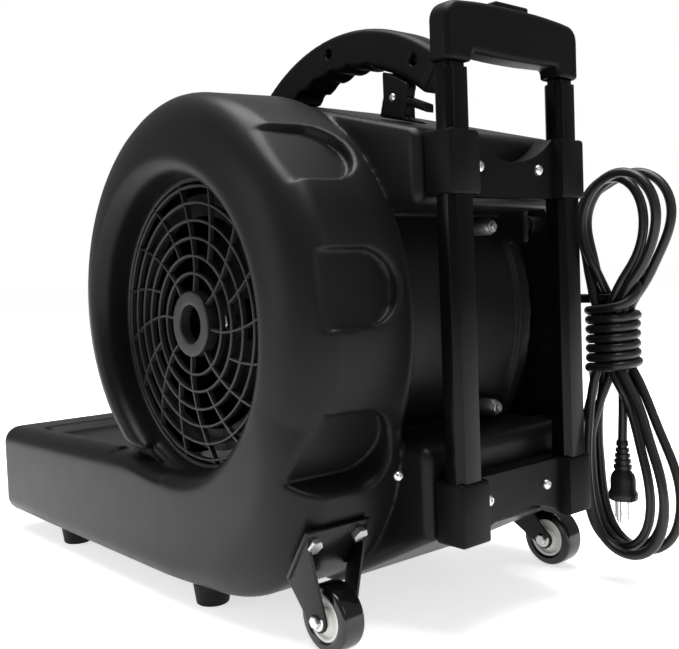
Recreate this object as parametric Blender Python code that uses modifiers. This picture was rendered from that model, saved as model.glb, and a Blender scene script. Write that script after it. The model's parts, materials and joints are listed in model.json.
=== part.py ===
"""Centrifugal floor air mover with a trolley handle, built as separate pieces."""
import math

import bmesh
import bpy
from mathutils import Matrix, Vector

MM = 0.001

# Object layout in mm. X runs along the fan axis (inlet at +X), -Y is the outlet, +Z is up.
# Working origin: centre of the inlet face projected on the floor; SHIFT recentres it.
SHIFT = (177.0, 78.8, 0.0)
AXIS_Z = 244.5
FACE_R = 195.0
WALL = 4.0
NOZZLE_Y = -395.0
SPLIT_X = -110.0
DRUM_END_X = -272.0
PLATE_X = -300.0
THROAT_R = 126.0
TUBE_X = (-120.0, -250.0)
TUBE_Y = 225.0
TROLLEY_MID_X = -184.0
SOCKET_FRONT_Y = 237.4
NEAR_AXLE = (-42.0, 160.0, 26.0)
FAR_AXLE = (-322.0, 152.0, 26.0)

PLASTIC = (0.035, 0.035, 0.038)
DARK = (0.018, 0.018, 0.020)
RUBBER = (0.012, 0.012, 0.012)
ZINC = (0.62, 0.62, 0.60)
STEEL = (0.45, 0.45, 0.46)
PALE = (0.72, 0.71, 0.68)


def clear_scene():
    for existing in list(bpy.data.objects):
        bpy.data.objects.remove(existing, do_unlink=True)


clear_scene()
PARTS = bpy.data.collections.new("air_mover")
CUTTERS = bpy.data.collections.new("cutters")
bpy.context.scene.collection.children.link(PARTS)
bpy.context.scene.collection.children.link(CUTTERS)


def material(name, colour, metallic, roughness):
    made = bpy.data.materials.new(name)
    made.use_nodes = True
    shader = made.node_tree.nodes["Principled BSDF"]
    shader.inputs["Base Color"].default_value = (*colour, 1.0)
    shader.inputs["Metallic"].default_value = metallic
    shader.inputs["Roughness"].default_value = roughness
    return made


def finish(bm, name, colour, metallic=0.0, roughness=0.5, pivot=(0.0, 0.0, 0.0), cutter=False):
    """Turn a bmesh in mm into a named object whose origin is the pivot."""
    bmesh.ops.remove_doubles(bm, verts=bm.verts, dist=1e-4)
    bmesh.ops.recalc_face_normals(bm, faces=bm.faces)
    bm.transform(Matrix.Translation(-Vector(pivot)))
    bm.transform(Matrix.Scale(MM, 4))
    mesh = bpy.data.meshes.new(name)
    bm.to_mesh(mesh)
    bm.free()
    made = bpy.data.objects.new(name, mesh)
    made.location = Vector(pivot) * MM
    if cutter:
        CUTTERS.objects.link(made)
        made.hide_render = True
        made.display_type = "WIRE"
    else:
        PARTS.objects.link(made)
        mesh.materials.append(material(name, colour, metallic, roughness))
    return made


def add_prism(bm, outline, axis, low, high):
    """Closed prism: a 2D outline extruded along one axis. The outline's two
    coordinates are the other two axes in X, Y, Z order."""
    def place(point, height):
        values = list(point)
        values.insert(axis, height)
        return values
    bottom = [bm.verts.new(place(p, low)) for p in outline]
    top = [bm.verts.new(place(p, high)) for p in outline]
    faces = [bm.faces.new(bottom), bm.faces.new(list(reversed(top)))]
    count = len(outline)
    for i in range(count):
        j = (i + 1) % count
        faces.append(bm.faces.new((bottom[i], top[i], top[j], bottom[j])))
    return bottom, top


def add_box(bm, x0, x1, y0, y1, z0, z1):
    return add_prism(bm, [(x0, y0), (x1, y0), (x1, y1), (x0, y1)], 2, z0, z1)


def add_lathe(bm, axis, centre, profile, count):
    """Revolve a closed (radius, height) loop about an axis through centre."""
    rings = []
    for i in range(count):
        angle = 2.0 * math.pi * i / count
        ring = []
        for radius, height in profile:
            point = [radius * math.cos(angle), radius * math.sin(angle)]
            point.insert(axis, height)
            ring.append(bm.verts.new([point[k] + centre[k] for k in range(3)]))
        rings.append(ring)
    size = len(profile)
    for i in range(count):
        a, b = rings[i], rings[(i + 1) % count]
        for j in range(size):
            k = (j + 1) % size
            bm.faces.new((a[j], a[k], b[k], b[j]))


def add_solid_lathe(bm, axis, centre, profile, count):
    """Revolve an open (radius, height) line and close both ends with discs."""
    rows = []
    for radius, height in profile:
        row = []
        for i in range(count):
            angle = 2.0 * math.pi * i / count
            point = [radius * math.cos(angle), radius * math.sin(angle)]
            point.insert(axis, height)
            row.append(bm.verts.new([point[k] + centre[k] for k in range(3)]))
        rows.append(row)
    for a, b in zip(rows, rows[1:]):
        for i in range(count):
            j = (i + 1) % count
            bm.faces.new((a[i], a[j], b[j], b[i]))
    bm.faces.new(rows[0])
    bm.faces.new(list(reversed(rows[-1])))


def lathe(name, axis, centre, profile, count, colour, **options):
    bm = bmesh.new()
    add_lathe(bm, axis, centre, profile, count)
    return finish(bm, name, colour, **options)


def solid_lathe(name, axis, centre, profile, count, colour, **options):
    bm = bmesh.new()
    add_solid_lathe(bm, axis, centre, profile, count)
    return finish(bm, name, colour, **options)


def prism(name, outline, axis, low, high, colour, **options):
    bm = bmesh.new()
    add_prism(bm, outline, axis, low, high)
    return finish(bm, name, colour, **options)


def box(name, limits, colour, **options):
    bm = bmesh.new()
    add_box(bm, *limits)
    return finish(bm, name, colour, **options)


def boolean(target, other, operation):
    modifier = target.modifiers.new(operation.lower(), "BOOLEAN")
    modifier.operation = operation
    modifier.solver = "EXACT"
    modifier.object = other
    return modifier


def bevel(target, width_mm, segments=2, angle=40.0):
    modifier = target.modifiers.new("bevel", "BEVEL")
    modifier.width = width_mm * MM
    modifier.segments = segments
    modifier.limit_method = "ANGLE"
    modifier.angle_limit = math.radians(angle)
    return modifier


def arc(cx, cy, radius, start, end, steps):
    points = []
    for i in range(steps + 1):
        angle = math.radians(start + (end - start) * i / steps)
        points.append((cx + radius * math.cos(angle), cy + radius * math.sin(angle)))
    return points


def volute_radius(angle):
    """Outer scroll radius: full at the rear and top, smaller towards the tongue."""
    if angle <= 90.0:
        return FACE_R
    return FACE_R - 33.0 * ((angle - 90.0) / 135.0) ** 1.2


def volute(start, end, steps, inset):
    points = []
    for i in range(steps + 1):
        angle = start + (end - start) * i / steps
        radius = volute_radius(angle) - inset
        points.append((radius * math.cos(math.radians(angle)),
                       AXIS_Z + radius * math.sin(math.radians(angle))))
    return points


def inlet_outline(inset, front):
    """Side view of the inlet half: scroll, rounded rear corner and outlet duct."""
    points = [(front, 20.0 + inset), (45.0, 20.0 + inset)]
    points += arc(45.0, 155.0, 135.0 - inset, -75.0, 0.0, 5)
    points += volute(0.0, 222.0, 20, inset)
    points += [(-136.0, 125.5 - inset), (front, 119.5 - inset)]
    return points


def motor_outline(inset, front):
    """Side view of the motor half: waist drum between an upper and a lower block."""
    waist = 165.0 - inset
    points = [(front, 20.0 + inset), (60.0, 20.0 + inset)]
    points += [(118.0 - inset, 34.0 + inset), (208.0 - inset, 79.0 + inset), (208.0 - inset, 150.0 - inset)]
    points += arc(0.0, AXIS_Z, waist, -34.0, 31.0, 5)
    points += [(208.0 - inset, 331.0 + inset), (208.0 - inset, 388.0 - inset)]
    points += volute(72.0, 222.0, 12, inset + 2.0)
    points += [(-136.0, 125.5 - inset), (front, 119.5 - inset)]
    return points


def bevelled_prism(outline, low, high, at_high, at_low, width_high, width_low, segments):
    """Prism along X with rounded rims at its ends."""
    bm = bmesh.new()
    bottom, top = add_prism(bm, outline, 0, low, high)
    for wanted, ring, width in ((at_high, top, width_high), (at_low, bottom, width_low)):
        if not wanted:
            continue
        chosen = set(ring)
        edges = [e for e in bm.edges if e.is_valid and e.verts[0] in chosen and e.verts[1] in chosen]
        bmesh.ops.bevel(bm, geom=edges, offset=width, segments=segments, profile=0.5,
                        affect="EDGES", clamp_overlap=True)
    return bm


POCKET_ANGLES = (43.0, 8.5, -27.5, 115.0, 151.0)


def add_pocket(bm, angle, grow):
    """D-shaped dent in the scroll wall, open towards the inlet face."""
    half = 27.0 + grow
    outline = [(12.0, -half), (-56.0, -half)]
    outline += [(x, y) for x, y in arc(-56.0, 0.0, half, 247.5, 112.5, 6)]
    outline += [(-56.0, half), (12.0, half)]
    radius = volute_radius(max(angle, 0.0)) if angle > 0.0 else FACE_R
    low, high = radius - 7.0 - grow, radius + 25.0
    ring_low, ring_high = [], []
    c, s = math.cos(math.radians(angle)), math.sin(math.radians(angle))
    for x, t in outline:
        for height, ring in ((low, ring_low), (high, ring_high)):
            ring.append(bm.verts.new((x, height * c - t * s, AXIS_Z + height * s + t * c)))
    bm.faces.new(ring_low)
    bm.faces.new(list(reversed(ring_high)))
    count = len(outline)
    for i in range(count):
        j = (i + 1) % count
        bm.faces.new((ring_low[i], ring_high[i], ring_high[j], ring_low[j]))


def pockets(name, grow):
    bm = bmesh.new()
    for angle in POCKET_ANGLES:
        add_pocket(bm, angle, grow)
    return finish(bm, name, PLASTIC, cutter=True)


# ---------------------------------------------------------------- housing
def build_inlet_half():
    bm = bevelled_prism(inlet_outline(0.0, NOZZLE_Y), SPLIT_X, 0.0, True, False, 30.0, 0.0, 3)
    shell = finish(bm, "housing_inlet_half", PLASTIC, roughness=0.42)
    bm = bevelled_prism(inlet_outline(WALL, NOZZLE_Y - 12.0), SPLIT_X - 6.0, -WALL,
                        True, False, 26.0, 0.0, 3)
    cavity = finish(bm, "cut_inlet_cavity", PLASTIC, cutter=True)
    boolean(cavity, pockets("cut_pockets_grown", WALL), "DIFFERENCE")
    boolean(shell, pockets("cut_pockets", 0.0), "DIFFERENCE")
    throat_profile = [(122.0, -36.0), (130.0, -36.0), (130.0, -20.0), (134.0, -11.0),
                      (150.0, -2.5), (122.0, -2.5)]
    throat = lathe("cut_throat", 0, (0.0, 0.0, AXIS_Z), throat_profile, 40, PLASTIC, cutter=True)
    boolean(cavity, throat, "DIFFERENCE")
    mouth_profile = [(THROAT_R, -60.0), (THROAT_R, -17.0), (128.3, -8.5), (134.5, -2.3),
                     (143.0, 0.0), (143.0, 20.0)]
    mouth = solid_lathe("cut_mouth", 0, (0.0, 0.0, AXIS_Z), mouth_profile, 40, PLASTIC, cutter=True)
    boolean(cavity, mouth, "UNION")
    boolean(shell, cavity, "DIFFERENCE")
    return shell


def build_motor_half():
    bm = bevelled_prism(motor_outline(0.0, NOZZLE_Y), DRUM_END_X, SPLIT_X - 2.0,
                        False, True, 0.0, 7.0, 2)
    shell = finish(bm, "housing_motor_half", PLASTIC, roughness=0.42)
    flange = prism("cut_flange", inlet_outline(0.0, NOZZLE_Y), 0, SPLIT_X - 4.0, SPLIT_X - 0.4,
                   PLASTIC, cutter=True)
    boolean(shell, flange, "UNION")
    rim_profile = [(150.0, -280.0), (167.5, -280.0), (167.5, -270.5), (150.0, -270.5)]
    rim = lathe("cut_rim", 0, (0.0, 0.0, AXIS_Z), rim_profile, 40, PLASTIC, cutter=True)
    boolean(shell, rim, "UNION")
    ear = box("cut_ear", (-272.0, -266.0, 120.0, 174.0, 304.0, 334.0), PLASTIC, cutter=True)
    boolean(shell, ear, "UNION")
    caster_block = box("cut_block", (-350.0, -270.0, 60.0, 150.0, 60.0, 94.0), PLASTIC, cutter=True)
    boolean(shell, caster_block, "UNION")
    cavity = prism("cut_motor_cavity", motor_outline(WALL, NOZZLE_Y - 12.0), 0,
                   DRUM_END_X + WALL, SPLIT_X + 6.0, PLASTIC, cutter=True)
    boolean(shell, cavity, "DIFFERENCE")
    block_cavity = box("cut_block_cavity", (-346.0, -264.0, 64.0, 146.0, 64.0, 90.0),
                       PLASTIC, cutter=True)
    boolean(shell, block_cavity, "DIFFERENCE")
    hole = solid_lathe("cut_motor_hole", 0, (0.0, 0.0, AXIS_Z), [(80.0, -295.0), (80.0, -255.0)],
                       32, PLASTIC, cutter=True)
    boolean(shell, hole, "DIFFERENCE")
    return shell


# ---------------------------------------------------------------- inlet grille
RING_RADII = (43.9, 58.8, 74.2, 89.1, 104.2, 118.4)
SPOKES = 16
SPOKE_WIDTH = 2.4
DOME = 4.7


def swirl(radius):
    """Spoke angle in degrees from upright, growing radius turns it back."""
    span = min(max((radius - 44.0) / 74.0, 0.0), 1.0)
    return 8.5 - 17.5 * span


def grille_front(radius):
    return -33.0 + DOME * (1.0 - (radius / 118.4) ** 2)


def build_grille():
    """Polar grid with open cells: rings, eight long and eight short spokes."""
    bands = [(16.5, 28.5)] + [(r - 1.3, r + 1.3) for r in RING_RADII] + [(122.6, 125.5)]
    radii = [r for band in bands for r in band]
    columns = []
    for k in range(SPOKES):
        centre = 360.0 * k / SPOKES
        columns += [(centre, -1.0, k), (centre, 1.0, k), (centre + 180.0 / SPOKES, 0.0, -1)]
    count = len(columns)
    bm = bmesh.new()
    layers = {}
    for side, back in (("front", 0.0), ("rear", 4.0)):
        for i, radius in enumerate(radii):
            for j, (centre, edge, _) in enumerate(columns):
                angle = math.radians(centre + swirl(radius)) + edge * 0.5 * SPOKE_WIDTH / radius
                layers[side, i, j] = bm.verts.new((grille_front(radius) - back,
                                                   radius * math.sin(angle),
                                                   AXIS_Z + radius * math.cos(angle)))
    solid = set()
    for i in range(len(radii) - 1):
        for j in range(count):
            is_band = i % 2 == 0
            spoke = columns[j][2] if columns[j][1] < 0.0 else -1
            is_spoke = spoke >= 0 and (spoke % 2 == 0 or i >= 4)
            if is_band or is_spoke:
                solid.add((i, j))
    for i, j in solid:
        n = (j + 1) % count
        corner = [(i, j), (i + 1, j), (i + 1, n), (i, n)]
        bm.faces.new([layers["front", a, b] for a, b in corner])
        bm.faces.new([layers["rear", a, b] for a, b in reversed(corner)])
        sides = (((i, j), (i, n), (i - 1, j)), ((i + 1, n), (i + 1, j), (i + 1, j)),
                 ((i + 1, j), (i, j), (i, (j - 1) % count)), ((i, n), (i + 1, n), (i, n)))
        for first, second, neighbour in sides:
            if neighbour not in solid:
                bm.faces.new((layers["front", first[0], first[1]], layers["front", second[0], second[1]],
                              layers["rear", second[0], second[1]], layers["rear", first[0], first[1]]))
    return finish(bm, "inlet_grille", PLASTIC, roughness=0.4)


# ---------------------------------------------------------------- impeller and motor
BLADES = 20


def build_impeller():
    centre = (0.0, 0.0, AXIS_Z)
    profile = [(6.5, -100.0), (112.0, -100.0), (112.0, -97.0), (20.0, -97.0), (18.0, -72.0), (6.5, -72.0)]
    wheel = lathe("impeller", 0, centre, profile, 36, DARK, roughness=0.5, pivot=centre)
    rim = lathe("cut_impeller_rim", 0, centre, [(93.0, -46.0), (112.0, -46.0), (112.0, -43.0), (93.0, -43.0)],
                36, DARK, cutter=True)
    bm = bmesh.new()
    for k in range(BLADES):
        base = 2.0 * math.pi * k / BLADES
        sections = []
        for radius, lead in ((94.0, 0.0), (110.0, 0.09)):
            angle = base + lead
            sections.append((radius, angle))
        left, right = [], []
        for radius, angle in sections:
            half = 0.9 / radius
            left.append((radius * math.cos(angle - half), AXIS_Z + radius * math.sin(angle - half)))
            right.append((radius * math.cos(angle + half), AXIS_Z + radius * math.sin(angle + half)))
        add_prism(bm, left + list(reversed(right)), 0, -98.0, -44.5)
    blades = finish(bm, "cut_blades", DARK, cutter=True)
    boolean(wheel, blades, "UNION")
    boolean(wheel, rim, "UNION")
    return wheel


def build_motor():
    centre = (0.0, 0.0, AXIS_Z)
    lathe("motor_can", 0, centre, [(56.0, -285.6), (62.0, -285.6), (62.0, -190.0), (56.0, -190.0)],
          32, STEEL, metallic=0.8, roughness=0.45)
    lathe("stator", 0, centre, [(41.0, -270.0), (55.6, -270.0), (55.6, -206.0), (41.0, -206.0)],
          32, STEEL, metallic=0.7, roughness=0.5)
    lathe("motor_cap_front", 0, centre,
          [(13.5, -189.6), (61.0, -189.6), (61.0, -183.0), (24.0, -176.0), (13.5, -176.0)],
          32, STEEL, metallic=0.7, roughness=0.5)
    lathe("motor_cap_rear", 0, centre,
          [(13.5, -299.6), (24.0, -299.6), (61.0, -294.0), (61.0, -286.0), (13.5, -286.0)],
          32, STEEL, metallic=0.7, roughness=0.5)
    for name, x in (("bearing_front", -187.0), ("bearing_rear", -297.0)):
        lathe(name, 0, centre, [(6.4, x), (13.1, x), (13.1, x + 9.0), (6.4, x + 9.0)],
              20, ZINC, metallic=1.0, roughness=0.3)
    solid_lathe("motor_shaft", 0, centre, [(6.0, -298.0), (6.0, -61.0), (5.0, -60.0)], 16, STEEL,
                metallic=1.0, roughness=0.3, pivot=centre)
    lathe("rotor", 0, centre, [(6.4, -266.0), (40.0, -266.0), (40.0, -210.0), (6.4, -210.0)],
          28, STEEL, metallic=0.7, roughness=0.5, pivot=centre)


def build_motor_side():
    plate = prism("end_plate", [(-176.0, 97.0), (176.0, 97.0), (176.0, 338.0), (-176.0, 338.0)],
                  0, PLATE_X - 4.0, PLATE_X, DARK, roughness=0.5)
    bevel_corners = plate.modifiers.new("round_corners", "BEVEL")
    bevel_corners.width = 18.0 * MM
    bevel_corners.segments = 3
    bevel_corners.limit_method = "WEIGHT"
    weights = plate.data.attributes.new("bevel_weight_edge", "FLOAT", "EDGE")
    for edge in plate.data.edges:
        a, b = (plate.data.vertices[i].co for i in edge.vertices)
        if abs(a.x - b.x) > 1e-5:
            weights.data[edge.index].value = 1.0
    hole = solid_lathe("cut_plate_hole", 0, (0.0, 0.0, AXIS_Z), [(48.0, -310.0), (48.0, -296.0)],
                       28, DARK, cutter=True)
    boolean(plate, hole, "DIFFERENCE")
    cover_profile = [(97.0, -304.4), (100.0, -304.4), (99.0, -336.0), (92.0, -345.0), (30.0, -347.0),
                     (30.0, -344.0), (91.0, -342.0), (96.0, -334.5)]
    cover = lathe("motor_cover", 0, (0.0, 0.0, AXIS_Z), cover_profile, 36, PLASTIC, roughness=0.45)
    bm = bmesh.new()
    for k in range(8):
        turn = Matrix.Rotation(math.radians(45.0 * k), 4, "X")
        before = set(bm.verts)
        add_box(bm, -355.0, -325.0, -3.5, 3.5, 42.0, 82.0)
        fresh = [v for v in bm.verts if v not in before]
        bmesh.ops.transform(bm, matrix=Matrix.Translation((0.0, 0.0, AXIS_Z)) @ turn, verts=fresh)
    boolean(cover, finish(bm, "cut_vents", PLASTIC, cutter=True), "DIFFERENCE")
    for name, y, z in (("standoff_rear_top", 160.0, 320.0), ("standoff_rear_bottom", 160.0, 138.0),
                       ("standoff_front_top", -162.0, 320.0), ("standoff_front_bottom", -150.0, 109.0)):
        solid_lathe(name, 0, (0.0, y, z), [(8.0, -299.6), (8.0, -284.0), (6.0, -283.6), (6.0, -272.4)],
                    14, ZINC, metallic=0.9, roughness=0.35)


def build_controls():
    case = box("control_box", (-338.0, -304.4, -172.0, -112.0, 248.0, 332.0), PLASTIC, roughness=0.45)
    bevel(case, 2.0, 2)
    boolean(case, box("cut_case", (-335.0, -300.0, -169.0, -115.0, 251.0, 329.0), DARK, cutter=True),
            "DIFFERENCE")
    boolean(case, solid_lathe("cut_knob_hole", 0, (0.0, -142.0, 305.0), [(5.0, -345.0), (5.0, -330.0)],
                              16, DARK, cutter=True), "DIFFERENCE")
    box("speed_switch", (-334.6, -316.0, -156.0, -128.0, 292.0, 318.0), DARK, roughness=0.5)
    solid_lathe("speed_knob", 0, (0.0, -142.0, 305.0),
                [(13.0, -354.0), (15.0, -352.0), (16.0, -338.4)], 20, DARK, roughness=0.4,
                pivot=(-338.4, -142.0, 305.0))
    solid_lathe("run_capacitor", 1, (-319.0, 0.0, 268.0), [(13.0, -166.0), (13.0, -120.0)], 18,
                PALE, roughness=0.4)
    junction = box("cord_box", (-334.0, -304.4, 132.0, 183.0, 140.0, 182.0), PLASTIC, roughness=0.45)
    bevel(junction, 3.0, 2)
    solid_lathe("strain_relief", 2, (-319.0, 158.0, 0.0),
                [(8.5, 182.4), (8.5, 187.0), (6.0, 188.0), (5.2, 204.0)], 14, RUBBER, roughness=0.7)


# ---------------------------------------------------------------- carry handle
HANDLE_X = (-161.0, -129.0)


def build_carry_handle():
    cy, cz = 92.0, 306.0
    outer = arc(cy, cz, 179.3, 50.0, 133.5, 14)
    inner = arc(cy, cz, 147.0, 117.0, 55.0, 11)
    foot = [(y, AXIS_Z + math.sqrt(193.0 ** 2 - y * y) + 0.5) for y in (-28.0, -12.0, 4.0, 19.0)]
    outline = outer + foot + inner
    handle = prism("carry_handle", outline, 0, HANDLE_X[0], HANDLE_X[1], DARK, roughness=0.5)
    bevel(handle, 6.0, 2, 50.0)
    bm = bmesh.new()
    for k in range(4):
        angle = math.radians(111.0 - 10.5 * k)
        y, z = cy + 142.5 * math.cos(angle), cz + 142.5 * math.sin(angle)
        add_solid_lathe(bm, 0, (0.0, y, z), [(9.5, -170.0), (9.5, -120.0)], 14)
    boolean(handle, finish(bm, "cut_finger_grooves", DARK, cutter=True), "DIFFERENCE")
    top = [(y, cz + math.sqrt(146.6 ** 2 - (y - cy) ** 2) - 1.2) for y in (174.0, 167.0, 159.0, 151.0, 143.0)]
    prism("handle_bracket_rear", [(138.0, 407.8), (190.0, 393.9), (190.0, 426.0)] + top, 0,
          -164.0, -126.0, DARK, roughness=0.5)


# ---------------------------------------------------------------- trolley
def tube_section(cx, width, depth, corner):
    """Tube section in plan: a rectangle with chamfered corners."""
    w, d = 0.5 * width, 0.5 * depth
    return [(cx - w + corner, TUBE_Y - d), (cx + w - corner, TUBE_Y - d), (cx + w, TUBE_Y - d + corner),
            (cx + w, TUBE_Y + d - corner), (cx + w - corner, TUBE_Y + d), (cx - w + corner, TUBE_Y + d),
            (cx - w, TUBE_Y + d - corner), (cx - w, TUBE_Y - d + corner)]


def add_tube(bm, outer, inner, low, high):
    """Hollow tube along Z, open at both ends."""
    count = len(outer)
    rings = {}
    for key, outline, z in (("ob", outer, low), ("ot", outer, high), ("ib", inner, low), ("it", inner, high)):
        rings[key] = [bm.verts.new((x, y, z)) for x, y in outline]
    for i in range(count):
        j = (i + 1) % count
        for a, b in (("ob", "ot"), ("it", "ib"), ("ot", "it"), ("ib", "ob")):
            bm.faces.new((rings[a][i], rings[b][i], rings[b][j], rings[a][j]))


def build_tubes():
    for side, cx in zip(("near", "far"), TUBE_X):
        bm = bmesh.new()
        add_tube(bm, tube_section(cx, 26.4, 20.4, 4.7), tube_section(cx, 24.8, 18.8, 4.4), 86.0, 376.0)
        finish(bm, "outer_tube_" + side, DARK, metallic=0.2, roughness=0.35)
        bm = bmesh.new()
        add_tube(bm, tube_section(cx, 24.0, 18.0, 4.2), tube_section(cx, 21.0, 15.0, 3.4), 92.0, 430.0)
        finish(bm, "middle_tube_" + side, DARK, metallic=0.2, roughness=0.35)
        bm = bmesh.new()
        add_tube(bm, tube_section(cx, 20.0, 14.0, 3.2), tube_section(cx, 17.4, 11.4, 2.6), 98.0, 452.0)
        finish(bm, "inner_tube_" + side, DARK, metallic=0.2, roughness=0.35)


def socket_cutters(name, low, high, width, depth, corner):
    bm = bmesh.new()
    for cx in TUBE_X:
        add_prism(bm, tube_section(cx, width, depth, corner), 2, low, high)
    return finish(bm, name, DARK, cutter=True)


def build_brackets():
    x_out, x_in = TUBE_X[0] + 15.0, TUBE_X[1] - 15.0
    crescent = arc(TROLLEY_MID_X, 436.0, 72.0, 225.5, 314.5, 8)
    outline = [(x_in, 337.0), (x_out, 337.0), (x_out, 385.0)] + list(reversed(crescent)) + [(x_in, 385.0)]
    top = prism("trolley_bracket_top", outline, 1, 208.4, SOCKET_FRONT_Y, DARK, roughness=0.45)
    bevel(top, 3.0, 2)
    boolean(top, socket_cutters("cut_top_sockets", 330.0, 392.0, 27.1, 21.1, 4.9), "DIFFERENCE")
    relief = box("cut_top_relief", (TUBE_X[1] + 15.0, TUBE_X[0] - 15.0, 228.0, 250.0, 330.0, 392.0),
                 DARK, cutter=True)
    boolean(top, relief, "DIFFERENCE")
    outline = [(x_in, 77.0), (TUBE_X[1] + 17.0, 77.0)]
    outline += arc(TROLLEY_MID_X, -20.0, 112.5, 112.0, 68.0, 6)
    outline += [(TUBE_X[0] - 17.0, 77.0), (x_out, 77.0), (x_out, 125.0), (x_in, 125.0)]
    base = prism("trolley_bracket_bottom", outline, 1, 208.4, SOCKET_FRONT_Y, DARK, roughness=0.45)
    bevel(base, 3.0, 2)
    boolean(base, socket_cutters("cut_bottom_sockets", 85.6, 140.0, 27.1, 21.1, 4.9), "DIFFERENCE")
    relief = box("cut_bottom_relief", (TUBE_X[1] + 15.0, TUBE_X[0] - 15.0, 228.0, 250.0, 60.0, 140.0),
                 DARK, cutter=True)
    boolean(base, relief, "DIFFERENCE")
    for name, x, z in (("trolley_screw_top_near", -144.0, 359.0), ("trolley_screw_top_far", -215.0, 359.0),
                       ("trolley_screw_bottom_near", -144.0, 106.0),
                       ("trolley_screw_bottom_far", -215.0, 106.0)):
        solid_lathe(name, 1, (x, 0.0, z), [(4.5, 228.4), (4.5, 230.4), (2.6, 231.6)], 12, ZINC,
                    metallic=1.0, roughness=0.3)


def build_grip():
    x0, x1 = TUBE_X[1] - 13.0, TUBE_X[0] + 13.0
    top = []
    for i in range(11):
        t = i / 10.0
        top.append((x1 + (x0 - x1) * t, 473.0 + 7.5 * math.sin(math.pi * t) ** 0.5))
    outline = [(x0, 434.0), (x0 + 25.0, 434.0), (x0 + 28.0, 441.5), (x1 - 28.0, 441.5), (x1 - 25.0, 434.0),
               (x1, 434.0)] + top
    grip = prism("grip", outline, 1, TUBE_Y - 11.0, TUBE_Y + 11.0, DARK, roughness=0.5)
    bevel(grip, 3.0, 2, 45.0)
    boolean(grip, socket_cutters("cut_grip_sockets", 430.0, 455.0, 20.8, 14.8, 3.4), "DIFFERENCE")
    well = box("cut_button_well", (-205.0, -165.0, TUBE_Y - 7.0, TUBE_Y + 7.0, 464.0, 490.0), DARK, cutter=True)
    boolean(grip, well, "DIFFERENCE")
    button = box("grip_button", (-204.5, -165.5, TUBE_Y - 6.5, TUBE_Y + 6.5, 470.0, 484.0), DARK,
                 roughness=0.45, pivot=(-185.0, TUBE_Y, 477.0))
    bevel(button, 1.5, 2)


# ---------------------------------------------------------------- casters and feet
def add_hex(bm, axis, centre, radius, low, high):
    add_solid_lathe(bm, axis, centre, [(radius, low), (radius, high)], 6)


def build_wheel(side, axle):
    x, y, z = axle
    tyre = [(15.4, -10.0), (20.0, -11.0), (23.0, -8.5), (24.0, -4.0), (24.0, 4.0), (23.0, 8.5),
            (20.0, 11.0), (15.4, 10.0)]
    lathe("tyre_" + side, 0, (x, y, z), [(r, h) for r, h in tyre], 28, RUBBER, roughness=0.3, pivot=axle)
    core = [(4.4, -11.5), (9.0, -11.5), (10.0, -8.0), (15.0, -9.0), (15.0, 9.0), (10.0, 8.0),
            (9.0, 11.5), (4.4, 11.5)]
    lathe("wheel_core_" + side, 0, (x, y, z), core, 24, PALE, roughness=0.4, pivot=axle)
    bm = bmesh.new()
    profile = [(6.4, 20.5), (6.4, 15.4), (4.0, 15.3), (4.0, -15.3), (5.6, -15.4), (5.6, -19.0)]
    add_solid_lathe(bm, 0, (x, y, z), profile, 12)
    finish(bm, "axle_bolt_" + side, ZINC, metallic=1.0, roughness=0.3)


def build_near_bracket():
    """Fork bolted on the rounded rear corner of the inlet half."""
    x, ay, az = NEAR_AXLE
    angle = math.radians(-33.0)
    normal = Vector((math.cos(angle), math.sin(angle)))
    along = Vector((-math.sin(angle), math.cos(angle)))
    base = Vector((45.0, 155.0)) + normal * 135.4

    def at(out, up):
        point = base + normal * out + along * up
        return (point.x, point.y)
    bm = bmesh.new()
    add_prism(bm, [at(0.0, -26.0), at(3.0, -26.0), at(3.0, 20.0), at(0.0, 20.0)], 0, x - 30.0, x + 30.0)
    bracket = finish(bm, "caster_bracket_near", DARK, metallic=0.5, roughness=0.4)
    bm = bmesh.new()
    for low, high in ((x - 15.0, x - 12.6), (x + 12.6, x + 15.0)):
        outline = [at(1.0, -25.5), at(1.0, 19.5), at(6.0, 19.5)]
        outline += arc(ay, az, 9.0, 30.0, -150.0, 6)
        add_prism(bm, outline, 0, low, high)
    arms = finish(bm, "cut_arms_near", DARK, cutter=True)
    boolean(bracket, arms, "UNION")
    holes = bmesh.new()
    add_solid_lathe(holes, 0, (x, ay, az), [(4.3, -40.0), (4.3, 40.0)], 12)
    boolean(bracket, finish(holes, "cut_axle_near", DARK, cutter=True), "DIFFERENCE")
    for name, dx, up in (("caster_bolt_near_a", 22.0, 9.0), ("caster_bolt_near_b", -22.0, 9.0)):
        bm = bmesh.new()
        spin = Matrix.Rotation(math.radians(-33.0), 4, "X")
        add_hex(bm, 1, (0.0, 0.0, 0.0), 6.5, 0.0, 5.0)
        cy, cz = at(3.4, up)
        bm.transform(Matrix.Translation((x + dx, cy, cz)) @ spin)
        finish(bm, name, ZINC, metallic=1.0, roughness=0.3)


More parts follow.
